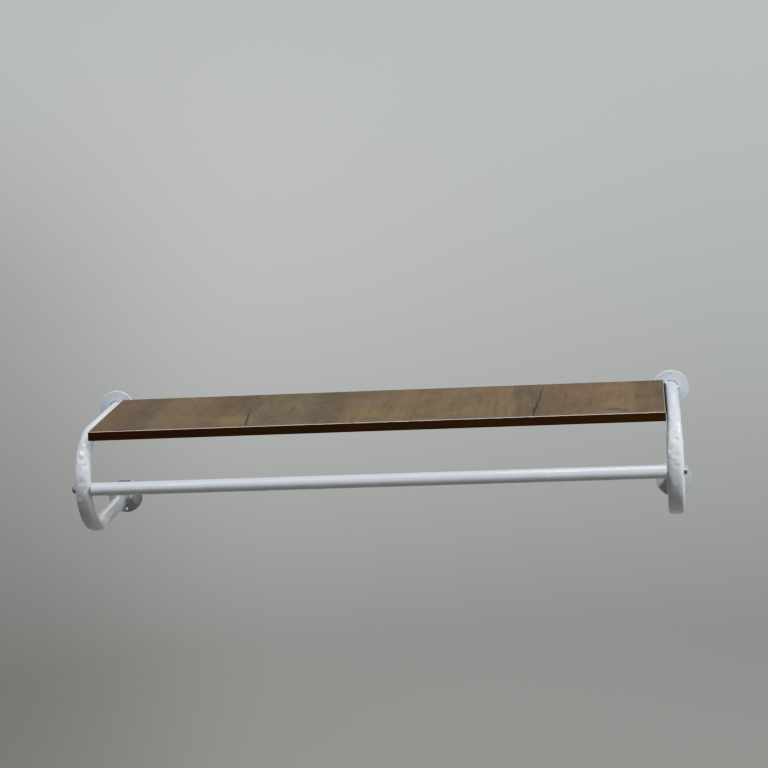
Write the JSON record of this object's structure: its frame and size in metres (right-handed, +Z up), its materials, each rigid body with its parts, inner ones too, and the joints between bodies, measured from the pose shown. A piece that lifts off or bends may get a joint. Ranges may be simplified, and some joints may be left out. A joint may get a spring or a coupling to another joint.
{
  "type": "wall shelf with hanging rail",
  "caption": "Long wall shelf board held between two bent tube brackets with round wall flanges and a hanging rail across the front.",
  "frame": {"origin": "on the wall face, midway between the two brackets and midway between their upper and lower arms: the centre of the four outermost flange screw holes", "axes": "+X along the shelf towards its right end as seen from the room, +Y into the wall, +Z up; the shelf's front faces -Y"},
  "size_m": [1.091, 0.2785, 0.235],
  "materials": {
    "wood_laminate": "satin brown oak-pattern laminate",
    "dark_edge_band": "satin, very dark brown edge band",
    "board_core": "raw particle board",
    "white_powder_coat": "glossy white powder coat on steel",
    "zinc_screw": "zinc-plated steel",
    "bright_bolt": "bright plated steel",
    "grey_plug": "grey moulded plastic"
  },
  "bodies": {
    "root": {"board_core": "board_core", "board_top_laminate": "wood_laminate", "board_bottom_laminate": "wood_laminate", "board_front_band": "dark_edge_band", "board_back_band": "dark_edge_band", "board_left_end_band": "dark_edge_band", "board_right_end_band": "dark_edge_band", "left_bracket_tube": "white_powder_coat", "right_bracket_tube": "white_powder_coat", "left_upper_flange": "white_powder_coat", "right_upper_flange": "white_powder_coat", "left_lower_flange": "white_powder_coat", "right_lower_flange": "white_powder_coat", "left_upper_tack_welds": "white_powder_coat", "right_upper_tack_welds": "white_powder_coat", "left_lower_tack_welds": "white_powder_coat", "right_lower_tack_welds": "white_powder_coat", "left_rear_tab": "white_powder_coat", "right_rear_tab": "white_powder_coat", "left_front_tab": "white_powder_coat", "right_front_tab": "white_powder_coat", "left_tab_welds": "white_powder_coat", "right_tab_welds": "white_powder_coat", "board_screws": "zinc_screw", "hanging_rail": "white_powder_coat", "left_rail_plug": "grey_plug", "right_rail_plug": "grey_plug", "rail_bolts": "bright_bolt", "rail_washers": "bright_bolt"}
  },
  "joints": []
}
